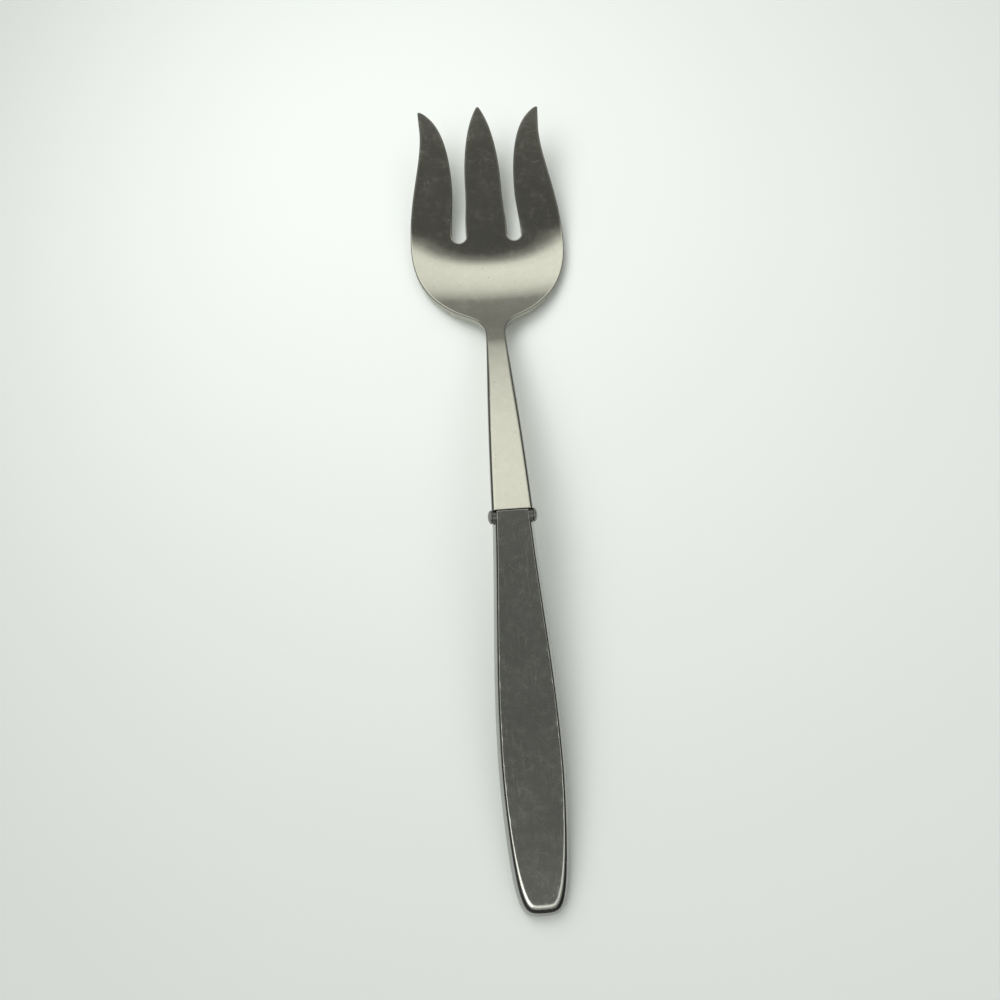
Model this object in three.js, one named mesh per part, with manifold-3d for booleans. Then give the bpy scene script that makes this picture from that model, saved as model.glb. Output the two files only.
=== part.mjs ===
import * as THREE from "three";
import { mergeVertices } from "three/addons/utils/BufferGeometryUtils.js";
import Module from "manifold-3d";

// Salad fork with three flame-shaped tines and a hollow handle riveted on its tang.
// Millimetres, +Z up, tines towards +Y. Distances called At run from the tine tips back along the table.

// Plan of the head and stem.
const tipSpread = 44.4;
const waistWidth = 43.7;
const waistAt = 9;
const headWidth = 54.8;
const widestAt = 52.2;
const shoulderWidth = 27;
const shoulderAt = 82.7;
const neckWidth = 6.6;
const neckAt = 95;
const stemEndWidth = 12.3;
const stemLean = 0.0254;
const jointAt = 165.3;

// Tines and the two slots between them.
const tineLength = 51.4;
const slotWidth = 5;
const slotSpacing = 19.9;
const slotNarrowWidth = 4.7;
const slotNarrowAt = 31;
const middleTineWidth = 13.1;
const outerTipBack = 0.9;
const tipFlat = 0.7;

// Side profile: heights of the upper face above the table.
const tipHeight = 17;
const tinesEndAt = 48;
const tinesEndHeight = 4.6;
const bowlAt = 63;
const riseAt = 88;
const riseHeight = 6.9;
const riseSlope = 0.4;
const stemAt = 101;
const stemHeight = 11.1;
const stemSlope = 0.215;
const jointHeight = 20.5;
const jointSlope = 0.085;

// Metal of the head and stem.
const headThickness = 2;
const neckThickness = 3.2;
const edgeRadius = 0.5;
const edgeLimit = 0.45;
const stemEdgeRadius = 0.9;
const dishDepth = 2.2;
const dishStartAt = 46;
const dishFullAt = 64;
const dishFadeAt = 78;

// Handle: flat plate on a rounded hollow shell.
const handleLength = 112.5;
const handleFrontWidth = 12;
const handleFrontLean = 0.037;
const handleWidth = 18.8;
const handleWidestFromJoint = 73;
const plateThickness = 1;
const plateInset = 1.3;
const shellDepth = 3.9;
const shellWall = 1.1;
const shellFloor = 1;
const shellRimInset = 0.9;
const shellBulgeDrop = 2.4;
const shellFootInset = 1.7;
const heelEndWidth = 1.4;
const heelCornerWidth = 14.2;
const heelCornerFromEnd = 6.6;
const heelCornerLean = 0.22;

// Tang and cross rivet.
const tangLength = 28;
const rivetFromJoint = 1.2;
const rivetDrop = 1.1;
const rivetShankDiameter = 1.2;
const rivetHeadDiameter = 4.2;
const rivetHeadHeight = 1.1;

// Clearances and flats.
const jointGap = 0.3;
const seamGap = 0.3;
const tangGap = 0.3;
const rivetGap = 0.3;
const restFlat = 0.3;
const heelFlat = 0.45;

// Mesh fineness and working room for cuts.
const curveSteps = 10;
const stemSteps = 7;
const tipSteps = 2;
const slotSteps = 4;
const bulgeSteps = 3;
const heelSteps = 14;
const acrossSteps = 8;
const roundSteps = 24;
const cutMargin = 6;
const weldDistance = 1e-4;

// Fullness of the curves: how far each runs straight on from its ends, as a share of its span.
const evenPull = 0.36;
const hipPull = 0.42;
const shoulderPull = 0.33;
const neckPull = 0.5;
const waistPull = 0.28;
const widestPull = 0.42;
const stemPull = 0.1;
const stemEndPull = 0.62;
const middleTipPull = 0.15;
const outerTipPull = 0.22;
const tinePull = 0.55;
const gripPull = 0.3;
const cornerPull = 0.18;
const heelPull = 0.5;

// Directions in plan, as a step outwards and a step back.
const shoulderTurn = new THREE.Vector2(-8.5, 6.5);
const middleTipTurn = new THREE.Vector2(2.9, 4);
const outerTipTurn = new THREE.Vector2(6.5, -3);

const steel = { color: 0x9c9e96, roughness: 0.34, metalness: 1 };

const wasm = await Module();
wasm.setup();

function solidFrom(geometry) {
  const bare = geometry.index ? geometry.toNonIndexed() : geometry.clone();
  bare.deleteAttribute("normal");
  bare.deleteAttribute("uv");
  const merged = mergeVertices(bare, weldDistance);
  const vertProperties = merged.attributes.position.array;
  const triVerts = new Uint32Array(merged.index.array);
  return new wasm.Manifold(new wasm.Mesh({ numProp: 3, vertProperties, triVerts }));
}

function geometryFrom(solid) {
  const mesh = solid.getMesh();
  const geometry = new THREE.BufferGeometry();
  geometry.setAttribute("position", new THREE.BufferAttribute(mesh.vertProperties, 3));
  geometry.setIndex(new THREE.BufferAttribute(mesh.triVerts, 1));
  geometry.computeVertexNormals();
  return geometry;
}

function steelMesh(name, solid) {
  const mesh = new THREE.Mesh(geometryFrom(solid), new THREE.MeshStandardMaterial(steel));
  mesh.name = name;
  return mesh;
}

// A closed skin over equal loops of points, with a fan over the first and the last loop.
function loft(loops) {
  const size = loops[0].length;
  const points = loops.flat();
  const faces = [];
  for (let row = 0; row < loops.length - 1; row++) {
    for (let column = 0; column < size; column++) {
      const next = (column + 1) % size;
      const near = row * size;
      const far = near + size;
      faces.push(near + column, near + next, far + next);
      faces.push(near + column, far + next, far + column);
    }
  }
  const middleOf = (loop) => loop.reduce((sum, p) => sum.add(p), new THREE.Vector3()).divideScalar(size);
  const firstMiddle = points.push(middleOf(loops[0])) - 1;
  const lastMiddle = points.push(middleOf(loops.at(-1))) - 1;
  const lastRow = (loops.length - 1) * size;
  for (let column = 0; column < size; column++) {
    const next = (column + 1) % size;
    faces.push(firstMiddle, next, column);
    faces.push(lastMiddle, lastRow + column, lastRow + next);
  }
  const geometry = new THREE.BufferGeometry().setFromPoints(points);
  geometry.setIndex(faces);
  return geometry;
}

// A smooth curve between two points that leaves and arrives along given directions.
function sweep(from, leaving, to, arriving, leavePull, arrivePull) {
  const span = from.distanceTo(to);
  const first = from.clone().addScaledVector(leaving.clone().normalize(), span * leavePull);
  const second = to.clone().addScaledVector(arriving.clone().normalize(), -span * arrivePull);
  return new THREE.CubicBezierCurve(from, first, second, to);
}

function pointsAlong(curves, steps) {
  return curves.flatMap((curve, index) => curve.getPoints(steps[index]).slice(index ? 1 : 0));
}

// Height of a polyline of (distance, height) points at one distance.
function heightOn(points, distance) {
  const after = points.findIndex((p) => p.x >= distance);
  const high = points[after < 0 ? points.length - 1 : Math.max(after, 1)];
  const low = points[points.indexOf(high) - 1];
  return THREE.MathUtils.mapLinear(distance, low.x, high.x, low.y, high.y);
}

const at = (across, back) => new THREE.Vector2(across, back);
const backwards = at(0, 1);
const forwards = at(0, -1);
const inwards = at(-1, 0);

// Outer edge from the tine tips to the joint, as half-width and distance back.
const outerTip = at(tipSpread / 2, outerTipBack);
const waist = at(waistWidth / 2, waistAt);
const widest = at(headWidth / 2, widestAt);
const shoulder = at(shoulderWidth / 2, shoulderAt);
const neck = at(neckWidth / 2, neckAt);
const stemEnd = at(stemEndWidth / 2, jointAt);
const stemTurn = at(stemLean, 1);
const outerEdge = pointsAlong(
  [
    new THREE.LineCurve(outerTip, waist),
    sweep(waist, backwards, widest, backwards, waistPull, widestPull),
    sweep(widest, backwards, shoulder, shoulderTurn, hipPull, shoulderPull),
    sweep(shoulder, shoulderTurn, neck, backwards, shoulderPull, neckPull),
    sweep(neck, backwards, stemEnd, stemTurn, stemPull, stemEndPull),
  ],
  [tipSteps, curveSteps, curveSteps, curveSteps, stemSteps],
);

// Upper face along the middle, as distance back and height.
const tinesEnd = at(tinesEndAt, tinesEndHeight);
const bowlLow = at(bowlAt, headThickness - restFlat);
const riseTop = at(riseAt, riseHeight);
const stemTop = at(stemAt, stemHeight);
const jointTop = at(jointAt, jointHeight);
const tineSlope = at(tinesEndAt, tinesEndHeight - tipHeight);
const level = at(1, 0);
const riseClimb = at(1, riseSlope);
const stemClimb = at(1, stemSlope);
const jointClimb = at(1, jointSlope);
const upperFace = pointsAlong(
  [
    new THREE.LineCurve(at(0, tipHeight), tinesEnd),
    sweep(tinesEnd, tineSlope, bowlLow, level, evenPull, evenPull),
    sweep(bowlLow, level, riseTop, riseClimb, evenPull, evenPull),
    sweep(riseTop, riseClimb, stemTop, stemClimb, evenPull, evenPull),
    sweep(stemTop, stemClimb, jointTop, jointClimb, evenPull, evenPull),
  ],
  [1, curveSteps, curveSteps, curveSteps, curveSteps],
);

const easeBetween = (value, low, high) => THREE.MathUtils.smoothstep(value, low, high);

function dishAt(across, back) {
  const fade = easeBetween(back, dishStartAt, dishFullAt) * (1 - easeBetween(back, dishFadeAt, neckAt));
  return dishDepth * fade * (across / (headWidth / 2)) ** 2;
}

const handleThickness = plateThickness + seamGap + shellDepth;

function thicknessAt(back) {
  const head = THREE.MathUtils.lerp(headThickness, neckThickness, easeBetween(back, bowlAt, neckAt));
  const stemShare = THREE.MathUtils.clamp((back - neckAt) / (jointAt - neckAt), 0, 1);
  return THREE.MathUtils.lerp(head, handleThickness, stemShare);
}

// One cross section of the head or stem with rounded edges, walked round from the upper left corner.
function headSection(half, back, top) {
  const thickness = thicknessAt(back);
  const wanted = THREE.MathUtils.lerp(edgeRadius, stemEdgeRadius, easeBetween(back, bowlAt, neckAt));
  const radius = Math.min(wanted, thickness * edgeLimit);
  const corner = radius * (1 - Math.SQRT1_2);
  const loop = [];
  const put = (across, drop) => {
    loop.push(new THREE.Vector3(across, -back, top + dishAt(across, back) - drop));
  };
  for (let step = 0; step <= acrossSteps; step++) {
    put((half - radius) * (1 - (2 * step) / acrossSteps), 0);
  }
  put(-half + corner, corner);
  put(-half, radius);
  put(-half, thickness - radius);
  put(-half + corner, thickness - corner);
  for (let step = 0; step <= acrossSteps; step++) {
    put((half - radius) * ((2 * step) / acrossSteps - 1), thickness);
  }
  put(half - corner, thickness - corner);
  put(half, thickness - radius);
  put(half, radius);
  put(half - corner, corner);
  return loop;
}

// The open space between the middle tine and one outer tine, in plan.
function slotShape(side) {
  const narrowInner = middleTineWidth / 2;
  const baseInner = (slotSpacing - slotWidth) / 2;
  const baseAt = tineLength - slotWidth / 2;
  const middleTip = at(tipFlat / 2, 0);
  const narrowMiddle = at(narrowInner, slotNarrowAt);
  const baseMiddle = at(baseInner, baseAt);
  const narrowOuter = at(narrowInner + slotNarrowWidth, slotNarrowAt);
  const baseOuter = at(baseInner + slotWidth, baseAt);
  const outerPoint = at(tipSpread / 2 - tipFlat, outerTipBack);
  const middleEdge = pointsAlong(
    [
      sweep(middleTip, middleTipTurn, narrowMiddle, backwards, middleTipPull, tinePull),
      sweep(narrowMiddle, backwards, baseMiddle, backwards, evenPull, evenPull),
    ],
    [curveSteps, slotSteps],
  );
  const slotBase = new THREE.EllipseCurve(
    slotSpacing / 2, baseAt, slotWidth / 2, slotWidth / 2, Math.PI, 0, true,
  ).getPoints(curveSteps).slice(1, -1);
  const outerEdgeInside = pointsAlong(
    [
      sweep(baseOuter, forwards, narrowOuter, forwards, evenPull, evenPull),
      sweep(narrowOuter, forwards, outerPoint, outerTipTurn, tinePull, outerTipPull),
    ],
    [slotSteps, curveSteps],
  );
  const beyond = [
    at(headWidth, outerTipBack),
    at(headWidth, -cutMargin),
    at(0, -cutMargin),
    at(0, 0),
  ];
  const outline = [...middleEdge, ...slotBase, ...outerEdgeInside, ...beyond];
  return new THREE.Shape(outline.map((p) => new THREE.Vector2(side * p.x, -p.y)));
}

function slotCut(side) {
  const height = tipHeight + 2 * cutMargin;
  const cut = new THREE.ExtrudeGeometry(slotShape(side), { depth: height, bevelEnabled: false });
  return solidFrom(cut.translate(0, 0, -cutMargin));
}

// Handle frame: origin on the joint line at the top of the plate, -Y down towards the heel.
// Its slope lets the foot of the shell just reach the table at the heel.
const footReach = handleLength - shellFootInset;
const footLean = Math.atan2(handleThickness, footReach);
const footSpan = Math.hypot(handleThickness, footReach);
const handleSlope = Math.asin((jointHeight + heelFlat) / footSpan) - footLean;
const handlePlace = new THREE.Matrix4()
  .makeTranslation(0, -jointAt, jointHeight)
  .multiply(new THREE.Matrix4().makeRotationX(handleSlope));

function boxBetween(low, high) {
  const size = high.clone().sub(low);
  const centre = low.clone().addScaledVector(size, 0.5);
  return new THREE.BoxGeometry(size.x, size.y, size.z).translate(centre.x, centre.y, centre.z);
}

function roundBar(diameter, length) {
  const bar = new THREE.CylinderGeometry(diameter / 2, diameter / 2, length, roundSteps);
  return bar.rotateZ(Math.PI / 2);
}

const plateUnderside = -plateThickness;
const rimLevel = plateUnderside - seamGap;
const footLevel = rimLevel - shellDepth;
const cavityFloor = footLevel + shellFloor;
const tangTop = plateUnderside - tangGap;
const tangUnderside = cavityFloor + tangGap;
const tangWidth = handleFrontWidth - 2 * (shellFootInset + shellWall + tangGap);
const widestLevel = rimLevel - shellBulgeDrop;
const rivetBack = jointGap + rivetFromJoint;
const rivetLevel = rimLevel - rivetDrop;
const rivetHole = rivetShankDiameter + 2 * rivetGap;

// Half-width of the handle and distance back from the joint, measured down the slope.
const handleFront = at(handleFrontWidth / 2, jointGap);
const handleTurn = at(handleFrontLean, 1);
const handleWidest = at(handleWidth / 2, handleWidestFromJoint);
const heelCorner = at(heelCornerWidth / 2, handleLength - heelCornerFromEnd);
const towardsHeel = at(-heelCornerLean, 1);
const handleEnd = at(heelEndWidth / 2, handleLength);
const handleEdge = pointsAlong(
  [
    sweep(handleFront, handleTurn, handleWidest, backwards, evenPull, evenPull),
    sweep(handleWidest, backwards, heelCorner, towardsHeel, gripPull, cornerPull),
    sweep(heelCorner, towardsHeel, handleEnd, inwards, heelPull, heelPull),
  ],
  [curveSteps, curveSteps, heelSteps],
);

// The handle's outline drawn in by a constant distance, kept behind a front line.
function handleInset(inset, front) {
  const drawn = handleEdge.map((point, index) => {
    const before = handleEdge[Math.max(index - 1, 0)];
    const after = handleEdge[Math.min(index + 1, handleEdge.length - 1)];
    const along = after.clone().sub(before).normalize();
    const edge = point.clone().addScaledVector(at(-along.y, along.x), inset);
    return at(Math.max(edge.x, heelEndWidth / 2), edge.y);
  });
  drawn[0].y = front;
  return drawn;
}

function forkHead() {
  const front = outerEdge[0];
  const ahead = headSection(front.x, -cutMargin / 2, tipHeight);
  const behind = headSection(stemEnd.x, jointAt + cutMargin / 2, jointHeight);
  const sections = outerEdge.map((p) => headSection(p.x, p.y, heightOn(upperFace, p.y)));
  const blade = solidFrom(loft([ahead, ...sections, behind]));
  const roomBehind = boxBetween(
    new THREE.Vector3(-headWidth, -handleLength, -headWidth),
    new THREE.Vector3(headWidth, 0, headWidth),
  ).applyMatrix4(handlePlace);
  const tang = boxBetween(
    new THREE.Vector3(-tangWidth / 2, -tangLength, tangUnderside),
    new THREE.Vector3(tangWidth / 2, cutMargin / 2, tangTop),
  ).applyMatrix4(handlePlace);
  const hole = roundBar(rivetHole, headWidth)
    .translate(0, -rivetBack, rivetLevel)
    .applyMatrix4(handlePlace);
  const table = boxBetween(
    new THREE.Vector3(-headWidth, -jointAt, -headWidth),
    new THREE.Vector3(headWidth, cutMargin, 0),
  );
  return blade
    .subtract(slotCut(1))
    .subtract(slotCut(-1))
    .subtract(solidFrom(roomBehind))
    .add(solidFrom(tang))
    .subtract(solidFrom(hole))
    .subtract(solidFrom(table));
}

function handlePlate() {
  const edge = handleInset(plateInset, jointGap);
  const right = edge.map((p) => new THREE.Vector2(p.x, -p.y));
  const left = edge.map((p) => new THREE.Vector2(-p.x, -p.y)).reverse();
  const plan = new THREE.Shape([...right, ...left]);
  const plate = new THREE.ExtrudeGeometry(plan, { depth: plateThickness, bevelEnabled: false });
  return solidFrom(plate.translate(0, 0, plateUnderside));
}

// A loft through handle outlines at rising levels, each a mirrored loop in plan.
function handleStack(layers) {
  const loops = layers.map(({ inset, level, front }) => {
    const edge = handleInset(inset, front);
    const left = edge.map((p) => new THREE.Vector3(-p.x, -p.y, level));
    const right = edge.map((p) => new THREE.Vector3(p.x, -p.y, level)).reverse();
    return [...left, ...right];
  });
  return solidFrom(loft(loops));
}

function handleShell() {
  const layers = [];
  for (let step = -bulgeSteps; step <= bulgeSteps; step++) {
    const turn = (step / bulgeSteps) * (Math.PI / 2);
    const inset = (step < 0 ? shellFootInset : shellRimInset) * (1 - Math.cos(turn));
    const drop = step < 0 ? widestLevel - footLevel : rimLevel - widestLevel;
    layers.push({ inset, level: widestLevel + drop * Math.sin(turn), front: jointGap });
  }
  const outer = handleStack(layers);
  const cavity = handleStack([
    { inset: shellFootInset + shellWall, level: cavityFloor, front: -cutMargin },
    { inset: shellRimInset + shellWall, level: rimLevel + cutMargin, front: -cutMargin },
  ]);
  const hole = roundBar(rivetHole, handleWidth * 2).translate(0, -rivetBack, rivetLevel);
  const table = boxBetween(
    new THREE.Vector3(-headWidth, -2 * handleLength - jointAt, -headWidth),
    new THREE.Vector3(headWidth, 0, 0),
  ).applyMatrix4(handlePlace.clone().invert());
  return outer.subtract(cavity).subtract(solidFrom(hole)).subtract(solidFrom(table));
}

function handleRivet() {
  const beside = handleEdge.filter((p) => p.y < rivetBack + rivetHeadDiameter);
  const seat = beside.at(-1).x + rivetGap;
  const dome = new THREE.EllipseCurve(
    0, seat, rivetHeadDiameter / 2, rivetHeadHeight, 0, Math.PI / 2,
  ).getPoints(curveSteps);
  const shank = rivetShankDiameter / 2;
  const upper = [at(shank, seat), ...dome.slice(0, -1), at(0, seat + rivetHeadHeight)];
  const lower = upper.map((p) => at(p.x, -p.y)).reverse();
  const turned = new THREE.LatheGeometry([...lower, ...upper], roundSteps);
  turned.rotateZ(-Math.PI / 2).translate(0, -rivetBack, rivetLevel);
  return solidFrom(turned);
}

const handle = new THREE.Group();
handle.name = "handle";
handle.applyMatrix4(handlePlace);
handle.add(steelMesh("handle_plate", handlePlate()));
handle.add(steelMesh("handle_shell", handleShell()));
handle.add(steelMesh("handle_rivet", handleRivet()));

const fork = new THREE.Group();
fork.name = "salad_fork";
fork.add(steelMesh("fork_head", forkHead()));
fork.add(handle);

// The origin lies on the table under the middle of the fork's outline.
const outline = new THREE.Box3().setFromObject(fork, true);
fork.position.y = -(outline.min.y + outline.max.y) / 2;

export default fork;
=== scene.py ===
import math

import bmesh
import bpy
import numpy as np
from mathutils import Matrix, Vector
from mathutils.geometry import delaunay_2d_cdt


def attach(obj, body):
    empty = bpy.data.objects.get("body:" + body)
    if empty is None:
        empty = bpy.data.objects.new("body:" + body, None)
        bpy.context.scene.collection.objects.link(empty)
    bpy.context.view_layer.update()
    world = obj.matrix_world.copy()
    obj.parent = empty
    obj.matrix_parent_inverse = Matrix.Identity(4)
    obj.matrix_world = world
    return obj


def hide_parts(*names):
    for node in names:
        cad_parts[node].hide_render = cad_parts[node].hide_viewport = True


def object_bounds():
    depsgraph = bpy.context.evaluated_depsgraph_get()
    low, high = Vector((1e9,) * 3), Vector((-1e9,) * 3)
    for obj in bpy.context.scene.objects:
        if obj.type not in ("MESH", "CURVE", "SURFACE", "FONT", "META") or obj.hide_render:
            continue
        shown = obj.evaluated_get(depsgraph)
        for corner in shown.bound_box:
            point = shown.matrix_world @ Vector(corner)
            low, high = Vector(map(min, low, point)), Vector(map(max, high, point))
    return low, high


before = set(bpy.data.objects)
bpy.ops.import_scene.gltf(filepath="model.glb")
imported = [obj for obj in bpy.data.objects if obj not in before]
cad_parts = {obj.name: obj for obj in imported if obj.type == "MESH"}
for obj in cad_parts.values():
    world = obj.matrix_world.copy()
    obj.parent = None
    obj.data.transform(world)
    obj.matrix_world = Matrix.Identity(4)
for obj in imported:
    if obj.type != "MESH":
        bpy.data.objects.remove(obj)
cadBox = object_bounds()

mm = 0.001
tipsY = cadBox[1][1] / mm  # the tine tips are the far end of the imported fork
scene = bpy.context.scene


# Plan curves are lists of (across, back), in millimetres.

def unit(direction):
    direction = np.array(direction, float)
    return direction / np.linalg.norm(direction)


def sweep(start, leaving, end, arriving, pulls):
    start = np.array(start, float)
    end = np.array(end, float)
    span = np.linalg.norm(end - start)
    first = start + unit(leaving) * span * pulls[0]
    second = end - unit(arriving) * span * pulls[1]
    t = np.linspace(0, 1, 121)[:, None]
    return ((1 - t) ** 3 * start + 3 * (1 - t) ** 2 * t * first
            + 3 * (1 - t) * t ** 2 * second + t ** 3 * end)


def chain(pieces):
    return np.concatenate([piece if index == 0 else piece[1:] for index, piece in enumerate(pieces)])


def runAlong(points):
    steps = np.linalg.norm(np.diff(points, axis=0), axis=1)
    return np.concatenate([[0], np.cumsum(steps)])


def evenly(points, spacing):
    run = runAlong(points)
    wanted = np.linspace(0, run[-1], max(3, round(run[-1] / spacing) + 1))
    return np.column_stack([np.interp(wanted, run, points[:, axis]) for axis in range(2)])


def trimmed(points, fromStart=0.0, fromEnd=0.0):
    run = runAlong(points)
    kept = points[(run > fromStart) & (run < run[-1] - fromEnd)]
    first = [np.interp(fromStart, run, points[:, axis]) for axis in range(2)]
    last = [np.interp(run[-1] - fromEnd, run, points[:, axis]) for axis in range(2)]
    return np.concatenate([[first], kept, [last]])


def ease(value, low, high):
    t = np.clip((np.asarray(value, float) - low) / (high - low), 0, 1)
    return t * t * (3 - 2 * t)


# Mesh helpers: loops of points become rows of quads, closed at both ends by a fine fill.

fillClearance = 0.6  # least distance from a fill point to its loop, in spacings


def insideOf(points, loop):
    x = points[:, 0][:, None]
    y = points[:, 1][:, None]
    after = np.roll(loop, -1, axis=0)
    crosses = (loop[:, 1] > y) != (after[:, 1] > y)
    drop = np.where(after[:, 1] == loop[:, 1], 1e-9, after[:, 1] - loop[:, 1])
    meets = loop[:, 0] + (y - loop[:, 1]) * (after[:, 0] - loop[:, 0]) / drop
    return (np.sum(crosses & (x < meets), axis=1) % 2) == 1


def fillPoints(loop, spacing):
    low = loop.min(axis=0)
    high = loop.max(axis=0)
    columns = np.arange(-math.ceil(-low[0] / spacing), math.ceil(high[0] / spacing) + 1) * spacing
    rows = np.arange(low[1] + spacing / 2, high[1], spacing)
    grid = np.array([(column, row) for row in rows for column in columns])
    grid = grid[insideOf(grid, loop)]
    clear = np.array([np.min(np.linalg.norm(loop - point, axis=1)) for point in grid])
    return grid[clear > spacing * fillClearance]


def skin(rows, spacing, firstHeight=None, lastHeight=None, rim=None):
    rows = [np.asarray(row, float) for row in rows]
    count = len(rows[0])
    mesh = bmesh.new()
    wearAndShade = mesh.verts.layers.float.new("rim")
    made = []
    for index, row in enumerate(rows):
        line = [mesh.verts.new(point) for point in row]
        for vertex, wornAndShaded in zip(line, np.broadcast_to(0 if rim is None else rim[index], count)):
            vertex[wearAndShade] = float(wornAndShaded)
        made.append(line)
    for upper, lower in zip(made, made[1:]):
        for index in range(count):
            following = (index + 1) % count
            mesh.faces.new((upper[index], upper[following], lower[following], lower[index]))
    plan = rows[0][:, :2]
    inner = fillPoints(plan, spacing)
    corners = [Vector(point) for point in np.concatenate([plan, inner])]
    edges = [(index, (index + 1) % count) for index in range(count)]
    places, _, triangles, origins, _, _ = delaunay_2d_cdt(corners, edges, [], 1, 1e-7)
    for line, height, flip in ((made[0], firstHeight, False), (made[-1], lastHeight, True)):
        level = line[0].co.z
        lookup = []
        for place, origin in zip(places, origins):
            if origin and origin[0] < count:
                lookup.append(line[origin[0]])
                continue
            z = level if height is None else float(height(np.array([place]))[0])
            lookup.append(mesh.verts.new((place[0], place[1], z)))
        for triangle in triangles:
            corner = [lookup[index] for index in triangle]
            mesh.faces.new(corner[::-1] if flip else corner)
    bmesh.ops.recalc_face_normals(mesh, faces=mesh.faces)
    triangles = [face for face in mesh.faces if len(face.verts) == 3]
    bmesh.ops.join_triangles(mesh, faces=triangles, angle_face_threshold=0.6, angle_shape_threshold=0.9)
    return mesh


def bevelledBlock(low, high, radius):
    mesh = bmesh.new()
    bmesh.ops.create_cube(mesh, size=1)
    size = np.subtract(high, low)
    middle = np.add(high, low) / 2
    for vertex in mesh.verts:
        vertex.co = [middle[axis] + vertex.co[axis] * size[axis] for axis in range(3)]
    bmesh.ops.bevel(mesh, geom=mesh.edges, offset=radius, segments=3, profile=0.5, affect="EDGES")
    return mesh


def solidObject(name, mesh, sharpAngle=None):
    data = bpy.data.meshes.new(name)
    bmesh.ops.scale(mesh, vec=(mm, mm, mm), verts=mesh.verts)
    mesh.to_mesh(data)
    mesh.free()
    data.shade_smooth()
    if sharpAngle is not None:
        data.set_sharp_from_angle(angle=math.radians(sharpAngle))
    made = bpy.data.objects.new(name, data)
    scene.collection.objects.link(made)
    return made


def cutFrom(piece, cutter, sharpAngle):
    cut = piece.modifiers.new("cut", "BOOLEAN")
    cut.operation = "DIFFERENCE"
    cut.solver = "EXACT"
    cut.object = cutter
    bpy.context.view_layer.update()
    result = bpy.data.meshes.new_from_object(piece.evaluated_get(bpy.context.evaluated_depsgraph_get()))
    piece.modifiers.remove(cut)
    old = piece.data
    piece.data = result
    result.name = piece.name
    bpy.data.meshes.remove(old)
    bpy.data.objects.remove(cutter)
    piece.data.shade_smooth()
    piece.data.set_sharp_from_angle(angle=math.radians(sharpAngle))


# Fork head: tines, bowl and stem as one plate with rounded edges.

headShape = {
    "outerTip": (22.2, 0.9),       # half-width, distance back from the tips
    "waist": (21.85, 9.0),
    "widest": (27.4, 52.2),
    "shoulder": (13.5, 82.7),
    "neck": (3.3, 95.0),
    "stemEnd": (6.15, 165.3),
    "stemTurn": (0.0254, 1),
    "middleTip": (0.35, 0.0),
    "innerTip": (21.5, 0.9),
    "slotNarrow": (6.55, 11.25, 31.0),  # inner side, outer side, distance back
    "slotBase": (7.45, 12.45, 51.4),
    "shoulderTurn": (-8.5, 6.5),
    "middleTipTurn": (2.9, 4.0),
    "outerTipTurn": (6.5, -3.0),
    "tipRound": 0.75,              # length of edge given to the rounding of a tip
    "tineTip": (0.0, 17.0),        # distance back, height of the upper face
    "tinesEnd": (48.0, 4.6),
    "bowlLow": (63.0, 1.7),
    "riseTop": (88.0, 6.9),
    "stemTop": (101.0, 11.1),
    "jointTop": (165.3, 20.5),
    "climbs": (0.4, 0.215, 0.085),  # slopes behind the bowl, on the stem and at the joint
    "profileSoftness": 2.2,
    "profileStep": 0.25,
    "profileWindow": 24,           # steps smoothed to each side
    "profileLead": 0.1,            # runs on ahead of the tips, as a share of the tines
    "profileRunOn": 8,             # and past the joint
    "dish": (2.2, 46.0, 64.0, 78.0),  # depth, start, full, fade
    "thickness": (2.0, 3.2, 5.2),  # bowl, neck, joint
    "edgeRadius": (0.5, 1.25),     # head, stem
    "radiusGrowth": (-6.0, 26.0),  # where the radius grows, from the neck
    "jointRadius": 0.16,
    "hold": 0.3,                   # flat ring next to the rounded edge
    "roomShares": (0.26, 0.1),     # most of a narrow place that radius and hold may take
    "roomReach": 6,                # points smoothed to each side
    "leanReach": 12.0,
    "endPoints": 17,
    "arcSteps": 5,                 # one less than the entries of each wear list
    "edgeSpacing": 0.5,
    "tipSpacing": 0.16,
    "fillSpacing": 0.9,
    # Rim values of the edge rows: edge wear, and above 0.6 painted shade that darkens the edge colour
    "edgeWearAndShade": (0.3, 0.5, 1, 1, 0.85, 0.78),  # from the upper face down, darkest just below the edge
    "tineWearAndShade": (0.72, 0.95, 1, 1, 1, 0.95),
    "tineWearAndShadeFade": (42.0, 56.0),
    "slotUnshaded": (3.0, 1.0),      # bright stretch before and behind the end of a slot, kept free of painted edge shade
    "slotFacing": (0.2, 0.7),      # how squarely that stretch faces the tips
    "pulls": {                     # how far each curve keeps its first and last direction
        "middleTine": (0.15, 0.55),
        "outerTine": (0.55, 0.22),
        "waist": (0.28, 0.42),
        "shoulder": (0.42, 0.33),
        "neck": (0.33, 0.5),
        "stem": (0.1, 0.62),
        "middleTip": (0.55, 0.4),
        "outerTip": (0.62, 0.62),
    },
}
even = (0.36, 0.36)  # pulls of a plain even curve
backwards = (0, 1)
forwards = (0, -1)
nearEdge = 0.3       # wear where a face meets its rounded edge
onEdge = 0.55        # wear on the rounded edges of the handle


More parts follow.
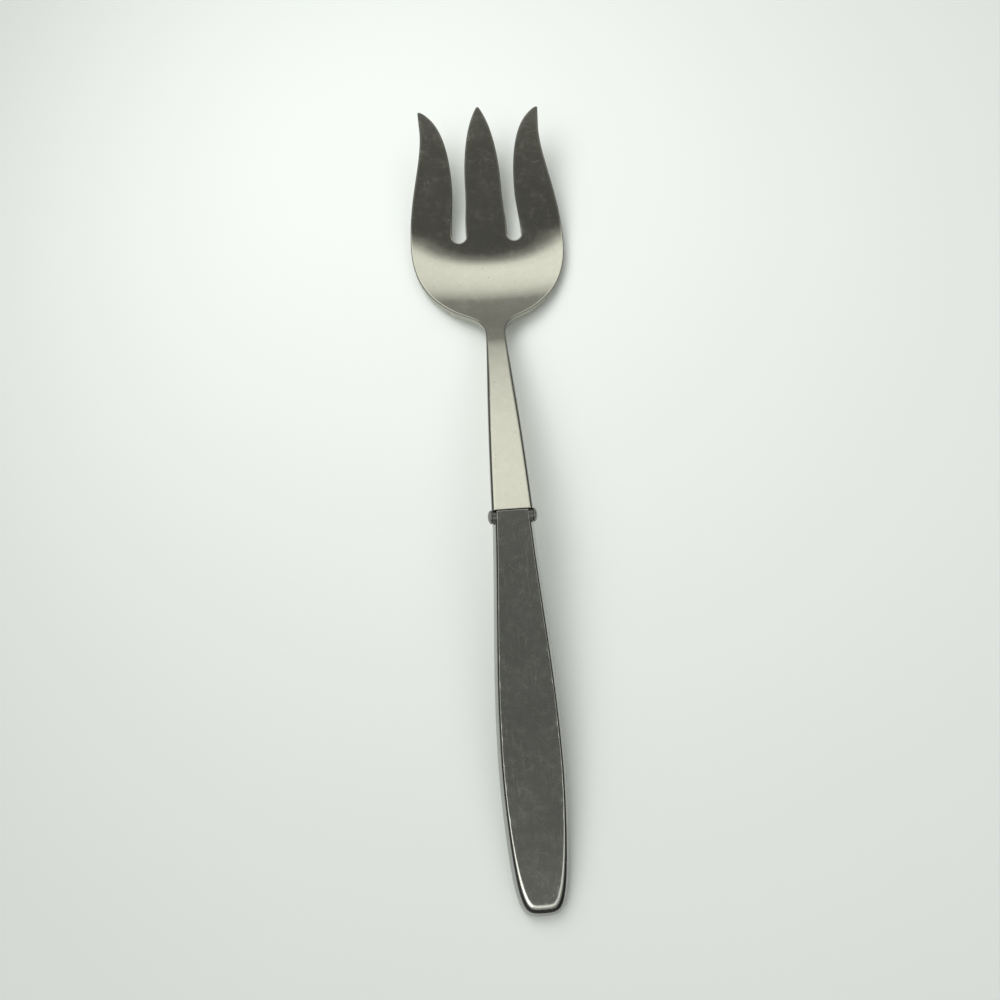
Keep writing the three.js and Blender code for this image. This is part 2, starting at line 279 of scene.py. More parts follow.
def headHalfEdge(shape):
    baseIn, baseOut, baseBack = shape["slotBase"]
    narrowIn, narrowOut, narrowBack = shape["slotNarrow"]
    innerSide = (narrowIn, narrowBack)
    outerSide = (narrowOut, narrowBack)
    radius = (baseOut - baseIn) / 2
    centre = np.array([(baseIn + baseOut) / 2, baseBack - radius])
    turn = np.linspace(math.pi, 0, 61)
    pulls = shape["pulls"]
    base = centre + radius * np.column_stack([np.cos(turn), np.sin(turn)])
    slot = chain([
        sweep(shape["middleTip"], shape["middleTipTurn"], innerSide, backwards, pulls["middleTine"]),
        sweep(innerSide, backwards, base[0], backwards, even),
        base,
        sweep(base[-1], forwards, outerSide, forwards, even),
        sweep(outerSide, forwards, shape["innerTip"], shape["outerTipTurn"], pulls["outerTine"]),
    ])
    outer = chain([
        np.array([shape["outerTip"], shape["waist"]]),
        sweep(shape["waist"], backwards, shape["widest"], backwards, pulls["waist"]),
        sweep(shape["widest"], backwards, shape["shoulder"], shape["shoulderTurn"], pulls["shoulder"]),
        sweep(shape["shoulder"], shape["shoulderTurn"], shape["neck"], backwards, pulls["neck"]),
        sweep(shape["neck"], backwards, shape["stemEnd"], shape["stemTurn"], pulls["stem"]),
    ])
    slot = trimmed(slot, shape["tipRound"], shape["tipRound"])
    outer = trimmed(outer, shape["tipRound"])
    apex = sweep((0, 0), (1, 0), slot[0], slot[1] - slot[0], pulls["middleTip"])
    tip = sweep(slot[-1], slot[-1] - slot[-2], outer[0], outer[1] - outer[0], pulls["outerTip"])
    return chain([
        evenly(apex, shape["tipSpacing"]),
        evenly(slot, shape["edgeSpacing"]),
        evenly(tip, shape["tipSpacing"]),
        evenly(outer, shape["edgeSpacing"]),
    ])


def headProfile(shape):
    riseClimb, stemClimb, jointClimb = [(1, climb) for climb in shape["climbs"]]
    level = (1, 0)
    joint = shape["jointTop"]
    tineSlope = np.subtract(shape["tinesEnd"], shape["tineTip"])
    line = chain([
        np.array([shape["tineTip"] - shape["profileLead"] * tineSlope, shape["tinesEnd"]]),
        sweep(shape["tinesEnd"], tineSlope, shape["bowlLow"], level, even),
        sweep(shape["bowlLow"], level, shape["riseTop"], riseClimb, even),
        sweep(shape["riseTop"], riseClimb, shape["stemTop"], stemClimb, even),
        sweep(shape["stemTop"], stemClimb, joint, jointClimb, even),
        np.array([joint, np.add(joint, np.multiply(jointClimb, shape["profileRunOn"]))]),
    ])
    step = shape["profileStep"]
    window = shape["profileWindow"]
    back = np.arange(line[0, 0], line[-1, 0], step)
    height = np.interp(back, line[:, 0], line[:, 1])
    reach = np.arange(-window, window + 1) * step
    weight = np.exp(-0.5 * (reach / shape["profileSoftness"]) ** 2)
    padded = np.concatenate([
        height[0] + (height[1] - height[0]) * np.arange(-window, 0),
        height,
        height[-1] + (height[-1] - height[-2]) * np.arange(1, window + 1),
    ])
    return back, np.convolve(padded, weight / weight.sum(), mode="valid")


def buildForkHead(shape):
    profileBack, profileHeight = headProfile(shape)
    neckBack = shape["neck"][1]
    jointBack = shape["stemEnd"][1]
    bowlBack = shape["bowlLow"][0]

    def topAt(points):
        across = points[:, 0]
        back = tipsY - points[:, 1]
        depth, start, full, fade = shape["dish"]
        strength = ease(back, start, full) * (1 - ease(back, fade, neckBack))
        raised = depth * strength * (across / shape["widest"][0]) ** 2
        return np.interp(back, profileBack, profileHeight) + raised

    def bottomAt(points):
        back = tipsY - points[:, 1]
        bowl, neck, joint = shape["thickness"]
        head = bowl + (neck - bowl) * ease(back, bowlBack, neckBack)
        share = np.clip((back - neckBack) / (jointBack - neckBack), 0, 1)
        return np.maximum(topAt(points) - (head + (joint - head) * share), 0)

    half = headHalfEdge(shape)
    endHalf = shape["stemEnd"][0]
    endCount = shape["endPoints"]
    endAcross = np.linspace(endHalf, -endHalf, endCount + 2)[1:-1]
    endLine = np.column_stack([endAcross, np.full(endCount, jointBack)])
    mirrored = half[::-1] * (-1, 1)
    outline = np.concatenate([half, endLine, mirrored[:-1]])
    along = np.roll(outline, -1, axis=0) - np.roll(outline, 1, axis=0)
    along /= np.linalg.norm(along, axis=1)[:, None]
    inward = np.column_stack([-along[:, 1], along[:, 0]])

    # Narrow places, such as the tips, take a smaller edge radius.
    openRoom = 10.0
    straightAhead = 0.75  # cosine of the widest angle that counts
    room = np.full(len(outline), openRoom)
    facing = outline[outline[:, 1] < jointBack]
    for index, point in enumerate(outline):
        toward = facing - point
        distance = np.linalg.norm(toward, axis=1)
        ahead = ((toward @ inward[index]) > straightAhead * distance) & (distance > 0)
        if ahead.any() and point[1] < jointBack:
            room[index] = distance[ahead].min()
    reach = shape["roomReach"]
    room = np.min([np.roll(room, shift) for shift in range(-reach, reach + 1)], axis=0)
    room = np.mean([np.roll(room, shift) for shift in range(-reach, reach + 1)], axis=0)
    headRadius, stemRadius = shape["edgeRadius"]
    growth = [neckBack + offset for offset in shape["radiusGrowth"]]
    wanted = headRadius + (stemRadius - headRadius) * ease(outline[:, 1], *growth)
    radiusShare, holdShare = shape["roomShares"]
    radius = np.minimum(wanted, radiusShare * room)
    hold = np.minimum(shape["hold"], holdShare * room)

    right = len(half) - 1
    left = right + endCount + 1
    radius[right + 1:left] = shape["jointRadius"]
    inward[right + 1:left] = (0, -1)
    for corner, side in ((right, -1), (left, 1)):
        radius[corner] = stemRadius
        inward[corner] = (side, -shape["jointRadius"] / stemRadius)

    def loopAt(inset):
        plan = outline + inward * inset[:, None]
        plan[right:left + 1, 0] = np.linspace(plan[right, 0], plan[left, 0], endCount + 2)
        return np.column_stack([plan[:, 0], tipsY - plan[:, 1]])

    rows = []
    rim = []
    arcSteps = shape["arcSteps"]
    held = loopAt(radius + hold)
    rows.append(np.column_stack([held, topAt(held)]))
    rim.append(nearEdge)
    onTines = 1 - ease(outline[:, 1], *shape["tineWearAndShadeFade"])
    before, behind = shape["slotUnshaded"]
    slotBack = shape["slotBase"][2]
    nearBase = (outline[:, 1] > slotBack - before) & (outline[:, 1] < slotBack + behind)
    unshaded = ease(inward[:, 1], *shape["slotFacing"]) * nearBase
    for step in range(arcSteps + 1):
        turn = step / arcSteps * math.pi / 2
        loop = loopAt(radius * (1 - math.sin(turn)))
        rows.append(np.column_stack([loop, topAt(loop) - radius * (1 - math.cos(turn))]))
        # Rim value of each row: edge wear and painted edge shade
        wearAndShade = shape["edgeWearAndShade"][step] * (1 - onTines) + shape["tineWearAndShade"][step] * onTines
        rim.append(wearAndShade * (1 - unshaded))
    for step in range(arcSteps, -1, -1):
        turn = step / arcSteps * math.pi / 2
        loop = loopAt(radius * (1 - math.sin(turn)))
        rows.append(np.column_stack([loop, bottomAt(loop) + radius * (1 - math.cos(turn))]))
        rim.append(shape["edgeWearAndShade"][-1])
    rows.append(np.column_stack([held, bottomAt(held)]))
    rim.append(nearEdge)
    mesh = skin(rows, shape["fillSpacing"], topAt, bottomAt, rim)

    # The end face leans with the front of the handle.
    for vertex in mesh.verts:
        lean = ease(tipsY - vertex.co.y, jointBack - shape["leanReach"], jointBack) * math.tan(handleSlope)
        vertex.co.y += lean * (jointHeight - vertex.co.z)
    return mesh


# Handle: measured in its own frame, with the origin on the joint line at the top of the plate.

handleShape = {
    "length": 112.5,
    "frontHalf": 6.0,
    "frontTurn": (0.037, 1),
    "halfWidth": 9.4,
    "widestBack": 73.0,
    "heelCorner": (7.1, 105.9),
    "heelTurn": (-0.22, 1),
    "endHalf": 0.7,
    "front": 0.3,
    "plateThickness": 1.0,
    "plateInset": 1.32,
    "plateRound": (0.16, 2.2),  # radius of the rounded edge at grip and heel
    "plateFacet": (0.06, 0.6),  # width of the flat below the rounding
    "plateTurn": 36,            # degrees turned by the rounding
    "facetRows": (0.15, 1),     # shares of the facet
    "heelGrowth": (7, 12),      # how late rounding and facet grow, as powers
    "heelFull": 2.0,            # both are full this far from the end
    "plateHold": 0.3,           # flat ring next to the rounding
    "plateChamfer": 0.1,
    "plateUnderHold": 0.5,
    "plateDings": [             # worn spots on the edge: distance back, reach, added radius
        (29.0, 0.8, 0.12), (43.5, 0.9, 0.2), (51.0, 0.7, 0.3), (62.5, 0.8, 0.22), (66.0, 0.7, 0.34),
        (73.5, 0.8, 0.2), (79.0, 0.7, 0.3), (87.5, 0.9, 0.26)],
    "seam": 0.3,
    "seamLip": 0.1,
    "shellDepth": 3.9,
    "shellWall": 1.1,
    "shellFloor": 1.0,
    "shellHold": (0.7, 0.4),    # flat ring inside the first and last edge: at the sides, in front
    "rimInset": 0.9,
    "bulgeDrop": 2.4,
    "flankBow": 0.12,
    "flankRows": (0.03, 0.08, 0.3, 0.55, 0.8, 0.92),  # shares of the drop to the widest level
    "flankWorn": 0.1,           # share of the drop that is worn
    "footInset": 1.7,
    "heelFlat": 0.45,
    "cavityOverrun": 6,         # the cutter runs out in front and above
    "cavitySpacing": 2.5,
    "tangLength": 28.0,
    "tangGap": 0.3,
    "tangBevel": 0.2,
    "tangInStem": 0.4,
    "spacing": 0.6,
    "fillSpacing": 1.1,
    "frontPoints": 13,
    "plateSteps": 8,
    "shellSteps": 7,
    "pulls": {"heel": (0.3, 0.18), "end": (0.5, 0.5)},
}
rimLevel = -handleShape["plateThickness"] - handleShape["seam"]
footLevel = rimLevel - handleShape["shellDepth"]
widestLevel = rimLevel - handleShape["bulgeDrop"]
cavityFloor = footLevel + handleShape["shellFloor"]
jointBack, jointHeight = headShape["jointTop"]

# The handle slopes down until the foot of the shell reaches the floor at the heel.
footReach = handleShape["length"] - handleShape["footInset"]
footSpan = math.hypot(footLevel, footReach)
footTurn = math.atan2(-footLevel, footReach)
handleSlope = math.asin((jointHeight + handleShape["heelFlat"]) / footSpan) - footTurn
handlePlace = Matrix.Translation((0, tipsY - jointBack, jointHeight)) @ Matrix.Rotation(handleSlope, 4, "X")


def handleHalfEdge(shape):
    widest = (shape["halfWidth"], shape["widestBack"])
    corner = shape["heelCorner"]
    turn = shape["heelTurn"]
    end = (shape["endHalf"], shape["length"])
    line = chain([
        sweep((shape["frontHalf"], shape["front"]), shape["frontTurn"], widest, backwards, even),
        sweep(widest, backwards, corner, turn, shape["pulls"]["heel"]),
        sweep(corner, turn, end, (-1, 0), shape["pulls"]["end"]),
        np.array([end, (0, shape["length"])]),
    ])
    return evenly(line, shape["spacing"])


handleEdge = handleHalfEdge(handleShape)


def handleLoop(inset, front, level):
    along = np.gradient(handleEdge, axis=0)
    along[-1] = (-1, 0)
    along /= np.linalg.norm(along, axis=1)[:, None]
    inset = np.broadcast_to(inset, len(handleEdge))[:, None]
    level = np.broadcast_to(level, len(handleEdge))
    edge = handleEdge + inset * np.column_stack([-along[:, 1], along[:, 0]])
    edge[0, 1] = front
    edge[:, 0] = np.maximum(edge[:, 0], 0)
    frontCount = handleShape["frontPoints"]
    across = np.linspace(-edge[0, 0], edge[0, 0], frontCount + 2)[1:-1]
    frontLine = np.column_stack([across, np.full(frontCount, front)])
    plan = np.concatenate([edge, edge[-2::-1] * (-1, 1), frontLine])
    height = np.concatenate([level, level[-2::-1], np.full(frontCount, level[0])])
    return np.column_stack([plan[:, 0], -plan[:, 1], height])


def buildHandlePlate(shape):
    share = np.clip(handleEdge[:, 1] / (shape["length"] - shape["heelFull"]), 0, 1)
    roundGrowth, facetGrowth = shape["heelGrowth"]
    gripRound, heelRound = shape["plateRound"]
    gripFacet, heelFacet = shape["plateFacet"]
    radius = gripRound + (heelRound - gripRound) * share ** roundGrowth
    for back, reach, depth in shape["plateDings"]:
        radius = radius + depth * np.exp(-((handleEdge[:, 1] - back) / reach) ** 2)
    facet = gripFacet + (heelFacet - gripFacet) * share ** facetGrowth
    fullTurn = math.radians(shape["plateTurn"])
    inset = shape["plateInset"] + facet + radius * math.sin(fullTurn)
    hold = shape["plateHold"]
    chamfer = shape["plateChamfer"]
    rows = [handleLoop(inset + hold, shape["front"] + hold, 0)]
    rim = [nearEdge]
    arcSteps = shape["plateSteps"]
    for step in range(arcSteps + 1):
        turn = step / arcSteps * fullTurn
        front = shape["front"] + chamfer * (1 - step / arcSteps)
        rows.append(handleLoop(inset - radius * math.sin(turn), front, radius * (math.cos(turn) - 1)))
        rim.append(onEdge)
    # The facet, the side and the underside take the full rim value: painted shade, the dark line along the
    # seam
    for part in shape["facetRows"]:
        level = radius * (math.cos(fullTurn) - 1) - part * facet * math.tan(fullTurn)
        rows.append(handleLoop(shape["plateInset"] + (1 - part) * facet, shape["front"], level))
        rim.append(1)
    under = -shape["plateThickness"]
    rows.append(handleLoop(shape["plateInset"], shape["front"], under + chamfer))
    for ring in (chamfer, shape["plateUnderHold"]):
        rows.append(handleLoop(shape["plateInset"] + ring, shape["front"] + ring, under))
    rim.extend([1, 1, 1])
    return skin(rows, shape["fillSpacing"], rim=rim)


def buildHandleShell(shape):
    sideHold, frontHold = shape["shellHold"]
    rows = [
        handleLoop(shape["rimInset"] + sideHold, shape["front"] + frontHold, rimLevel),
        handleLoop(shape["rimInset"] + shape["seamLip"], shape["front"], rimLevel),
    ]
    # The seam lip rows take the full rim value: painted shade in the seam under the plate
    rim = [1, 1]
    for share in shape["flankRows"]:
        inset = shape["rimInset"] * (1 - share) - shape["flankBow"] * math.sin(math.pi * share)
        rows.append(handleLoop(inset, shape["front"], rimLevel - shape["bulgeDrop"] * share))
        rim.append(onEdge if share < shape["flankWorn"] else 0)
    arcSteps = shape["shellSteps"]
    for step in range(arcSteps + 1):
        turn = step / arcSteps * math.pi / 2
        level = widestLevel - (widestLevel - footLevel) * math.sin(turn)
        rows.append(handleLoop(shape["footInset"] * (1 - math.cos(turn)), shape["front"], level))
        rim.append(0)
    rows.append(handleLoop(shape["footInset"] + sideHold, shape["front"] + frontHold, footLevel))
    rim.append(0)
    return skin(rows, shape["fillSpacing"], rim=rim)


def buildShellCavity(shape):
    overrun = shape["cavityOverrun"]
    rows = [
        handleLoop(shape["rimInset"] + shape["shellWall"], -overrun, rimLevel + overrun),
        handleLoop(shape["footInset"] + shape["shellWall"], -overrun, cavityFloor),
    ]
    return skin(rows, shape["cavitySpacing"])


# Cross rivet: two domed heads on a thin shank, each over a low boss on the shell.

rivetShape = {
    "back": 1.5,
    "drop": 1.1,            # below the rim of the shell
    "shank": 0.6,
    "headRadius": 2.1,
    "headHeight": 1.2,
    "brow": 0.14,           # rounding where the dome meets its seat
    "seat": 6.2,
    "shankChamfer": 0.1,
    "domeSteps": 12,
    "browSteps": 4,
    "turns": 64,
    "bore": (0.9, 12.0),    # radius, reach to each side
    "bossRadii": (0.9, 1.9),
    "bossSpan": (4.6, 6.16),
    "bossChamfer": 0.1,
    "bossTurns": 48,
    "bossWearAndShade": 0.84,
}
rivetLevel = rimLevel - rivetShape["drop"]


def turned(line, steps, closed):
    mesh = bmesh.new()
    mesh.verts.layers.float.new("rim")
    turns = [2 * math.pi * step / steps for step in range(steps)]
    rings = []
    for radius, along in line:
        if radius == 0:
            rings.append([mesh.verts.new((along, 0, 0))] * steps)
            continue
        circle = [(along, radius * math.sin(turn), radius * math.cos(turn)) for turn in turns]
        rings.append([mesh.verts.new(point) for point in circle])
    following = rings[1:] + rings[:1] if closed else rings[1:]
    for ring, other in zip(rings, following):
        for step in range(steps):
            after = (step + 1) % steps
            corners = (ring[step], ring[after], other[after], other[step])
            mesh.faces.new(list(dict.fromkeys(corners)))  # a pole counts once
    bmesh.ops.recalc_face_normals(mesh, faces=mesh.faces)
    bmesh.ops.translate(mesh, vec=(0, -rivetShape["back"], rivetLevel), verts=mesh.verts)
    return mesh


def buildHandleRivet(shape):
    radius = shape["headRadius"]
    seat = shape["seat"]
    brow = shape["brow"]
    chamfer = shape["shankChamfer"]
    line = [(0.0, seat + shape["headHeight"])]
    for step in range(1, shape["domeSteps"] + 1):
        turn = step / shape["domeSteps"] * math.pi / 2
        line.append((radius * math.sin(turn), seat + brow + (shape["headHeight"] - brow) * math.cos(turn)))
    for step in range(1, shape["browSteps"] + 1):
        turn = step / shape["browSteps"] * math.pi / 2
        line.append((radius - brow * (1 - math.cos(turn)), seat + brow * (1 - math.sin(turn))))
    line.append((shape["shank"] + chamfer, seat))
    line.append((shape["shank"], seat - chamfer))
    line += [(reach, -along) for reach, along in reversed(line)]
    return turned(line, shape["turns"], False)


def buildRivetBoss(shape, side):
    inner, outer = shape["bossRadii"]
    low, high = shape["bossSpan"]
    chamfer = shape["bossChamfer"]
    line = [(inner, low), (inner, high), (outer - chamfer, high), (outer, high - chamfer), (outer, low)]
    mesh = turned([(radius, side * along) for radius, along in line], shape["bossTurns"], True)
    # The bosses take a high rim value: painted shade that darkens them, and edge nicks
    wearAndShade = mesh.verts.layers.float["rim"]
    for vertex in mesh.verts:
        vertex[wearAndShade] = shape["bossWearAndShade"]
        vertex.co.y = min(vertex.co.y, -handleShape["front"])  # flush with the front of the handle
    return mesh


def buildRivetBore(shape):
    radius, reach = shape["bore"]
    mesh = bmesh.new()
    crossways = Matrix.Translation((0, -shape["back"], rivetLevel)) @ Matrix.Rotation(math.pi / 2, 4, "Y")
    bmesh.ops.create_cone(mesh, cap_ends=True, segments=32, radius1=radius, radius2=radius, depth=2 * reach,
                          matrix=crossways)
    return mesh


def joinInto(piece, others):
    with bpy.context.temp_override(active_object=piece, selected_editable_objects=[piece, *others]):
        bpy.ops.object.join()


def onHandle(name, mesh, sharpAngle=None):
    bmesh.ops.transform(mesh, matrix=handlePlace, verts=mesh.verts)
    return solidObject(name, mesh, sharpAngle)


forkHead = solidObject("forkHead", buildForkHead(headShape), sharpAngle=50)
print("fork head:", len(forkHead.data.polygons), "faces")

wallInset = handleShape["footInset"] + handleShape["shellWall"] + handleShape["tangGap"]
tangHalf = handleShape["frontHalf"] - wallInset
tangLow = (-tangHalf, -handleShape["tangLength"], cavityFloor + handleShape["tangGap"])
tangHigh = (tangHalf, handleShape["tangInStem"], -handleShape["plateThickness"] - handleShape["tangGap"])
tang = onHandle("tang", bevelledBlock(tangLow, tangHigh, handleShape["tangBevel"]), sharpAngle=40)
cutFrom(tang, onHandle("bore", buildRivetBore(rivetShape)), sharpAngle=40)
joinInto(forkHead, [tang])
print("tang joined to the head:", len(forkHead.data.polygons), "faces")

handlePlate = onHandle("handlePlate", buildHandlePlate(handleShape), sharpAngle=44)
print("handle plate:", len(handlePlate.data.polygons), "faces")

handleShell = onHandle("handleShell", buildHandleShell(handleShape), sharpAngle=50)
cutFrom(handleShell, onHandle("cavity", buildShellCavity(handleShape)), sharpAngle=50)
cutFrom(handleShell, onHandle("bore", buildRivetBore(rivetShape)), sharpAngle=50)
bosses = [onHandle("boss", buildRivetBoss(rivetShape, side), sharpAngle=40) for side in (-1, 1)]
joinInto(handleShell, bosses)
for vertex in handleShell.data.vertices:
    vertex.co.z = max(vertex.co.z, 0)  # worn flat where the heel rests
print("handle shell:", len(handleShell.data.polygons), "faces")

handleRivet = onHandle("handleRivet", buildHandleRivet(rivetShape), sharpAngle=50)
print("handle rivet:", len(handleRivet.data.polygons), "faces")


# Shader maths: a wrapped socket takes part in plain expressions.

class Wire:
    def __init__(self, desk, socket):
        self.desk = desk
        self.socket = socket

    def __add__(self, other):
        return self.desk.maths("ADD", self, other)

    def __radd__(self, other):
        return self.desk.maths("ADD", other, self)

    def __sub__(self, other):
        return self.desk.maths("SUBTRACT", self, other)

    def __rsub__(self, other):
        return self.desk.maths("SUBTRACT", other, self)

    def __mul__(self, other):
        return self.desk.maths("MULTIPLY", self, other)

    def __rmul__(self, other):
        return self.desk.maths("MULTIPLY", other, self)


class NodeDesk:
    def __init__(self, tree):
        self.tree = tree
        tree.nodes.clear()

    def add(self, kind, settings, sockets, output=0):
        node = self.tree.nodes.new(kind)
        for name, value in settings.items():
            if name == "stops":
                ramp = node.color_ramp.elements
                while len(ramp) < len(value):
                    ramp.new(0.5)
                for element, (position, colour) in zip(ramp, value):
                    element.position = position
                    element.color = colour
            else:
                setattr(node, name, value)
        for name, value in sockets.items():
            if isinstance(value, Wire):
                self.tree.links.new(value.socket, node.inputs[name])
            else:
                node.inputs[name].default_value = value
        return Wire(self, node.outputs[output]) if node.outputs else node

    def maths(self, operation, a, b):
        return self.add("ShaderNodeMath", {"operation": operation}, {0: a, 1: b})

    def between(self, value, low, high):
        return self.add("ShaderNodeMapRange", {"interpolation_type": "SMOOTHSTEP"},
                        {"Value": value, "From Min": low, "From Max": high})

    def mixColour(self, share, a, b):
        return self.add("ShaderNodeMix", {"data_type": "RGBA"}, {0: share, 6: a, 7: b}, 2)

    def noise(self, point, scale, detail, roughness=0.5):
        return self.add("ShaderNodeTexNoise", {}, {
            "Vector": point, "Scale": scale, "Detail": detail, "Roughness": roughness})

    def stretched(self, point, turn, size):
        return self.add("ShaderNodeMapping", {"vector_type": "TEXTURE"}, {
            "Vector": point, "Rotation": (0, 0, math.radians(turn)), "Scale": size})


# Stainless steel finishes. Lengths are millimetres on the surface.

def steelFinish(name, look):
    material = bpy.data.materials.new(name)
    material.use_nodes = True
    desk = NodeDesk(material.node_tree)
    place = desk.add("ShaderNodeTexCoord", {}, {}, "Object")
    point = desk.add("ShaderNodeVectorMath", {"operation": "SCALE"}, {0: place, "Scale": 1 / mm})
    rim = desk.add("ShaderNodeAttribute", {"attribute_name": "rim"}, {}, "Fac")

    cloud = desk.noise(point, 1 / look["cloudSize"], 3)
    haze = desk.between(desk.noise(point, 1 / look["hazeSize"], *look["hazeDetail"]), *look["hazeBand"])
    grain = desk.noise(desk.stretched(point, look["grainTurn"], look["grain"]), 1, 3)

    scratch = 0
    for turn, width, length, rarity in look["scratches"]:
        streak = desk.noise(desk.stretched(point, turn, (width, length, look["scratchReach"])), 1, 0)
        scratch = desk.between(streak, rarity, rarity + look["scratchSoft"]) + scratch
    scratch = desk.add("ShaderNodeClamp", {}, {"Value": scratch})

    speck = desk.noise(point, 1 / look["speckSize"], 1)
    speck = desk.between(speck, look["speckRarity"], look["speckRarity"] + look["speckSoft"])
    nick = desk.noise(desk.stretched(point, 0, look["nick"]), 1, 1)
    nick = desk.between(nick, *look["nickBand"]) * rim

    colour = desk.mixColour(cloud, look["shade"], look["steel"])
    colour = desk.mixColour(haze * look["hazeTint"], colour, look["bright"])
    colour = desk.mixColour(scratch * look["scratchTint"], colour, look["bright"])
    colour = desk.mixColour(speck * look["speckTint"], colour, look["dullAndShade"])
    colour = desk.mixColour(nick * look["nickTint"], colour, look["bright"])
    # Painted shade: high rim values mix the colour towards near black, standing in for the dark reflections
    # and shade along edges, facets and seams; the same mask also roughens worn edges
    wornAndShaded = desk.between(rim, *look["shadeAndWearBand"])
    colour = desk.mixColour(wornAndShaded * look["paintedEdgeShade"], colour, look["dullAndShade"])

    rough = look["roughness"] + (cloud - 0.5) * look["cloudRough"] + haze * look["hazeRough"]
    flat = desk.between(rim, *look["flatBand"])
    rough = rough + (grain - 0.5) * flat * look["grainRough"] + wornAndShaded * look["edgeRough"]
    rough = rough + (scratch + speck + nick) * look["markRough"]

    height = grain * flat * look["grainHeight"] - scratch * flat * look["scratchDepth"]
    height = height - speck * look["speckDepth"] - nick * look["nickDepth"]
    normal = desk.add("ShaderNodeBump", {}, {
        "Strength": 1.0, "Distance": look["relief"] * mm, "Height": height})
    steel = desk.add("ShaderNodeBsdfPrincipled", {}, {
        "Base Color": colour, "Roughness": rough, "Metallic": 1.0, "Normal": normal})
    desk.add("ShaderNodeOutputMaterial", {}, {"Surface": steel})
    return material


headLook = {
    "steel": (0.63, 0.63, 0.545, 1),
    "shade": (0.58, 0.58, 0.5, 1),
    "bright": (0.78, 0.78, 0.7, 1),
    "dullAndShade": (0.05, 0.05, 0.05, 1),
    "paintedEdgeShade": 0.9,
    "edgeRough": 0.0,
    "shadeAndWearBand": (0.6, 1.0),        # of the rim wear and painted edge shade
    "flatBand": (0.5, 0.0),
    "roughness": 0.1,
    "cloudSize": 16,
    "cloudRough": 0.04,
    "hazeSize": 4,
    "hazeTint": 0.24,
    "hazeRough": 0.07,
    "hazeBand": (0.44, 0.7),
    "hazeDetail": (7, 0.75),
    "grain": (0.3, 9, 3),
    "grainTurn": 4,
    "grainRough": 0.05,
    "grainHeight": 0.12,
    "scratches": [                 # turn, width, length, rarity
        (14, 0.09, 9, 0.775), (-31, 0.09, 7, 0.785), (63, 0.09, 8, 0.775), (98, 0.09, 8, 0.765)],
    "scratchReach": 4,
    "scratchSoft": 0.05,
    "scratchTint": 0.28,
    "scratchDepth": 0.5,           # depths are shares of the relief
    "speckSize": 0.7,
    "speckRarity": 0.74,
    "speckSoft": 0.04,
    "speckTint": 0.5,
    "speckDepth": 0.3,
    "nick": (1.5, 1.5, 1.5),
    "nickBand": (0.6, 0.68),
    "nickTint": 0.5,
    "nickDepth": 1.0,
    "markRough": 0.1,              # added by scratches, specks and nicks
    "relief": 0.002,
}
plateLook = dict(headLook, **{
    "steel": (0.745, 0.765, 0.705, 1),
    "shade": (0.69, 0.71, 0.65, 1),
    "bright": (0.88, 0.88, 0.82, 1),
    "dullAndShade": (0.04, 0.04, 0.04, 1),
    "roughness": 0.19,
    "hazeSize": 2.5,
    "hazeTint": 0.12,
    "hazeRough": 0.05,
    "grain": (0.22, 14, 3),
    "grainTurn": 0,
    "scratches": [(3, 0.1, 14, 0.78), (-8, 0.1, 10, 0.795), (40, 0.1, 6, 0.81), (-58, 0.1, 6, 0.81)],
    "scratchTint": 0.1,
    "paintedEdgeShade": 0.92,
    "speckSize": 0.5,
    "speckRarity": 0.7,
    "nick": (0.8, 1.6, 0.8),
})
shellLook = dict(headLook, **{
    # A darker copy of the same steel: painted shade, for the shaded floor that the flanks mirror
    "steel": (0.43, 0.435, 0.42, 1),
    "shade": (0.39, 0.395, 0.38, 1),
    "bright": (0.56, 0.56, 0.54, 1),
    "dullAndShade": (0.05, 0.05, 0.05, 1),
    "paintedEdgeShade": 0.96,
    "edgeRough": 0.4,
    "roughness": 0.17,
    "grain": (0.3, 12, 0.3),
    "grainTurn": 0,
})
rivetLook = dict(headLook, **{
    # A much darker copy of the same steel: painted shade on the rivet heads at the joint
    "steel": (0.26, 0.26, 0.25, 1),
    "shade": (0.2, 0.2, 0.19, 1),
    "roughness": 0.32,
    "grain": (0.3, 0.3, 0.3),
})

pieces = (
    (forkHead, "fork_head", "head_steel", headLook),
    (handlePlate, "handle_plate", "plate_steel", plateLook),
    (handleShell, "handle_shell", "shell_steel", shellLook),
    (handleRivet, "handle_rivet", "rivet_steel", rivetLook),
)
for piece, node, slot, look in pieces:
    piece.data.materials.clear()
    piece.data.materials.append(steelFinish(piece.name + "Steel", look))
    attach(piece, "root")
    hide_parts(node)
print("finishes: 4 steels")


# Stage: pale floor, soft sky with a dark ceiling patch, one soft lamp and the camera.

stageLook = {
    "floorSize": 9.0,
    "floor": (0.9, 0.94, 0.92, 1),
    "floorShade": (0.88, 0.92, 0.9, 1),
    "floorCloud": 9,               # clouds of shade to the metre
    "floorRough": 0.6,
    "floorGloss": 0.2,
    "sky": [                       # height of the look upwards (0 level, 1 overhead), brightness
        (0.0, 0.2), (0.18, 0.22), (0.28, 0.26), (0.44, 0.28), (0.5, 0.52), (0.6, 0.84), (0.7, 1.0),
        (0.8, 1.06), (0.862, 0.95), (0.905, 0.5), (0.93, 0.26), (0.948, 0.2), (0.957, 0.1), (1.0, 0.088)],
    "skyTint": (1.0, 1.0, 0.955),
    "skyLean": (-0.32, 0.1, 0.0),
    "skyFill": 0.96,               # share of the sky that lights dull surfaces
    "glow": (-0.55, -0.55, 0.63),
    "glowSpread": (0.93, 0.99),
    "glowLevel": 1.6,
    "lampPlace": (-0.09, 0.14, 0.3),
    "lampAim": (0.39, 0.1, 0.0),
    "lampSize": 0.32,
    "lampPower": 0.6,
    "cameraPlace": (-0.01268, -0.14979, 0.28969),
    "cameraTilt": 25.1,
    "cameraTurn": -4.2,
    "lens": 36,
    "sensor": 36,
}


